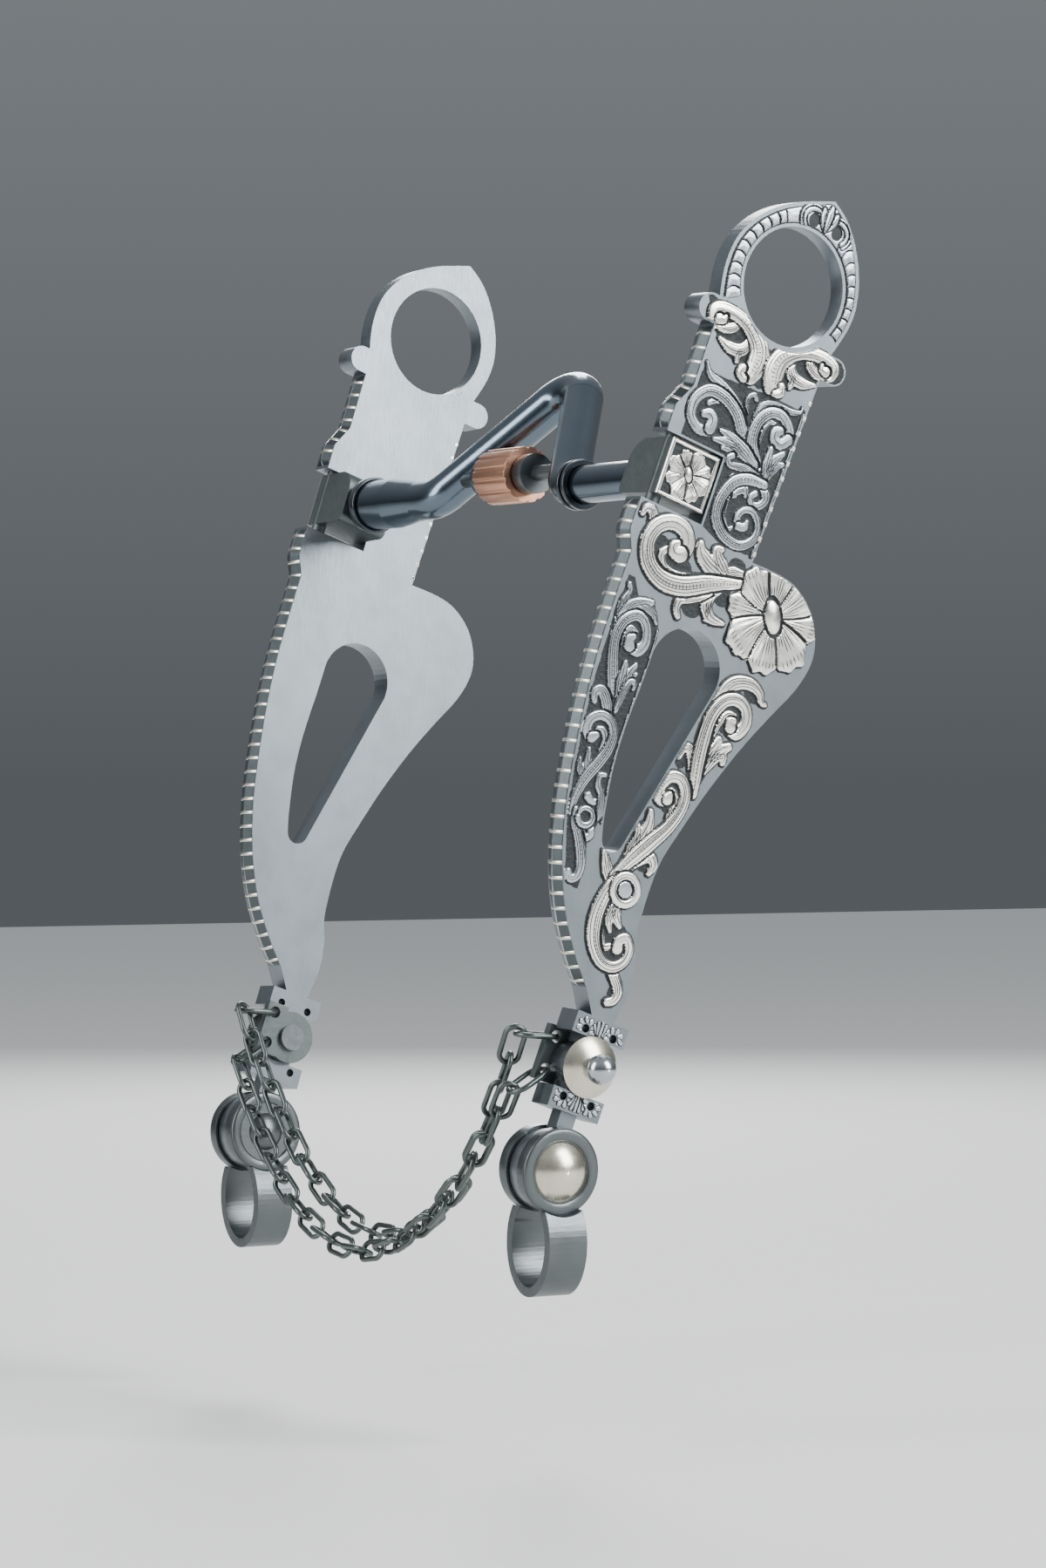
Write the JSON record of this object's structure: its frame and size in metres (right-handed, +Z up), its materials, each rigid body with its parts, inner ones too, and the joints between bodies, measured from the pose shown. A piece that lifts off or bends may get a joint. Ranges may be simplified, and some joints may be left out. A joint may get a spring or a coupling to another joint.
{
  "type": "curb bit",
  "caption": "Loose-jaw curb bit: engraved flat cheeks with headstall rings, ported mouthpiece with fluted roller, rein loops and a twin shank chain.",
  "frame": {"origin": "middle of the mouthpiece, on the line through both jaw blocks", "axes": "+Z up as the bit hangs, +X to the right cheek, +Y rearward, -Y the cheeks' front edges"},
  "size_m": [0.1444, 0.0778, 0.2171],
  "materials": {
    "satin_steel": "satin, darkened in the recesses",
    "silver": "engraved silver",
    "edge_silver": "inlaid silver bars",
    "warm_silver": "polished, warm",
    "polished_steel": "mirror",
    "loop_steel": "satin",
    "dark_steel": "matte dark",
    "black_steel": "gloss black",
    "blued_steel": "glossy blued",
    "copper": "satin copper",
    "chain_steel": "satin wire"
  },
  "bodies": {
    "mouthpiece": {"mouth_port": "blued_steel", "bar_right": "blued_steel", "bar_left": "blued_steel", "collar_right": "black_steel", "collar_left": "black_steel", "block_right": "dark_steel", "block_left": "dark_steel", "cap_right": "silver", "cap_left": "silver", "jaw_pin_right": "dark_steel", "jaw_pin_left": "dark_steel", "roller_axle": "loop_steel"},
    "roller": {"roller": "copper"},
    "right_cheek": {"cheek_right": "satin_steel", "ring_band_right": "silver", "ear_scrolls_right": "silver", "flower_right": "silver", "shank_scrolls_right": "silver", "front_bars_right": "edge_silver", "rear_bars_right": "edge_silver", "chain_plate_right": "dark_steel", "button_right": "warm_silver", "button_ball_right": "polished_steel"},
    "right_rein_loop": {"rein_loop_right": "loop_steel", "rein_pin_right": "loop_steel", "rein_dome_right": "warm_silver"},
    "left_cheek": {"cheek_left": "satin_steel", "ring_band_left": "silver", "ear_scrolls_left": "silver", "flower_left": "silver", "shank_scrolls_left": "silver", "front_bars_left": "edge_silver", "rear_bars_left": "edge_silver", "chain_plate_left": "dark_steel", "button_left": "warm_silver", "button_ball_left": "polished_steel"},
    "left_rein_loop": {"rein_loop_left": "loop_steel", "rein_pin_left": "loop_steel", "rein_dome_left": "warm_silver"},
    "chain_front": {"chain_front": "chain_steel"},
    "chain_rear": {"chain_rear": "chain_steel"},
    "link_right_upper": {"link_right_upper": "chain_steel"},
    "link_right_lower": {"link_right_lower": "chain_steel"},
    "link_left_upper": {"link_left_upper": "chain_steel"},
    "link_left_lower": {"link_left_lower": "chain_steel"}
  },
  "joints": [
    {"name": "roller_spin", "type": "hinge", "parent": "mouthpiece", "child": "roller", "pos_m": [0, 0.0024, 0.0036], "axis": [1, 0, 0], "continuous": true},
    {"name": "right_jaw_swivel", "type": "hinge", "parent": "mouthpiece", "child": "right_cheek", "pos_m": [0.06625, -0.00418, 0.00137], "axis": [0.0523, 0.3416, 0.9384], "range_deg": [-2.5, 2.5]},
    {"name": "right_rein_pivot", "type": "hinge", "parent": "right_cheek", "child": "right_rein_loop", "pos_m": [0.05907, -0.02624, -0.13641], "axis": [0.9986, -0.0179, -0.0492], "range_deg": [-60, 60]},
    {"name": "right_upper_link", "type": "hinge", "parent": "right_cheek", "child": "link_right_upper", "pos_m": [0.05629, -0.0232, -0.11051], "axis": [-0.0503, -0.0693, -0.9963], "range_deg": [-6, 6]},
    {"name": "right_lower_link", "type": "hinge", "parent": "right_cheek", "child": "link_right_lower", "pos_m": [0.05593, -0.02552, -0.11689], "axis": [-0.0336, 0.5003, -0.8652], "range_deg": [-6, 6]},
    {"name": "left_jaw_swivel", "type": "hinge", "parent": "mouthpiece", "child": "left_cheek", "pos_m": [-0.06625, -0.00418, 0.00137], "axis": [-0.0523, 0.3416, 0.9384], "range_deg": [-2.5, 2.5]},
    {"name": "left_rein_pivot", "type": "hinge", "parent": "left_cheek", "child": "left_rein_loop", "pos_m": [-0.05907, -0.02624, -0.13641], "axis": [-0.9986, -0.0179, -0.0492], "range_deg": [-60, 60]},
    {"name": "left_upper_link", "type": "hinge", "parent": "left_cheek", "child": "link_left_upper", "pos_m": [-0.05629, -0.0232, -0.11051], "axis": [0.0503, -0.0693, -0.9963], "range_deg": [-6, 6]},
    {"name": "left_lower_link", "type": "hinge", "parent": "left_cheek", "child": "link_left_lower", "pos_m": [-0.05593, -0.02552, -0.11689], "axis": [0.0336, 0.5003, -0.8652], "range_deg": [-6, 6]},
    {"name": "chain_swing", "type": "hinge", "parent": "mouthpiece", "child": "chain_front", "pos_m": [0, -0.03263, -0.12094], "axis": [1, 0, 0], "range_deg": [-8, 8]},
    {"name": "chain_rear_swing", "type": "hinge", "parent": "mouthpiece", "child": "chain_rear", "pos_m": [0, -0.03129, -0.10987], "axis": [1, 0, 0], "range_deg": [-8, 8]}
  ],
  "couplings": [
    {"joint": "right_upper_link", "follows": "right_jaw_swivel", "ratio": -1.546},
    {"joint": "right_lower_link", "follows": "right_jaw_swivel", "ratio": -1.835},
    {"joint": "left_upper_link", "follows": "left_jaw_swivel", "ratio": -1.546},
    {"joint": "left_lower_link", "follows": "left_jaw_swivel", "ratio": -1.835},
    {"joint": "chain_rear_swing", "follows": "chain_swing", "ratio": 0.813}
  ]
}
